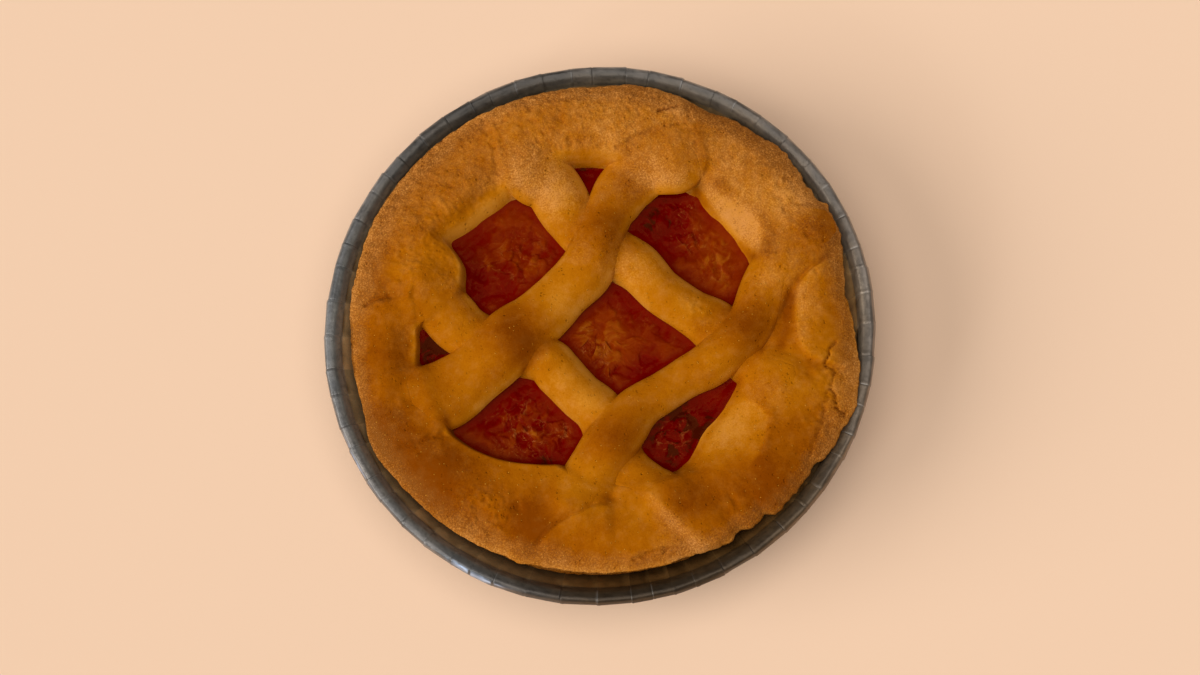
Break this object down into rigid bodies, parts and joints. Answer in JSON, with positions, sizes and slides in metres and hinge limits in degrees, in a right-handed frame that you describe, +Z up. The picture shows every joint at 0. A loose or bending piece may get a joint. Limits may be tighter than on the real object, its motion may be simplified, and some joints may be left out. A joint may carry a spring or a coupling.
{
  "type": "apricot tart",
  "caption": "Round shortcrust tart with a woven pastry top over apricot jam, in its own pleated foil case with a rolled rim",
  "frame": {"origin": "middle of the foil case's base, on the surface it stands on", "axes": "+Z up; +Y towards the far side of the tart as pictured, +X to its right"},
  "size_m": [0.11, 0.1098, 0.0276],
  "materials": {
    "foil": "bright crimped foil, slightly dull",
    "crust": "baked shortcrust, sandy and matt",
    "apricot": "baked apricot jam, wet and glossy",
    "strip_pastry": "baked shortcrust strips, soft sheen"
  },
  "bodies": {
    "root": {"foil_case": "foil", "pastry_shell": "crust", "apricot_jam": "apricot", "strip_over_upper": "strip_pastry", "strip_over_lower": "strip_pastry", "strip_under_upper": "strip_pastry", "strip_under_lower": "strip_pastry"}
  },
  "joints": []
}
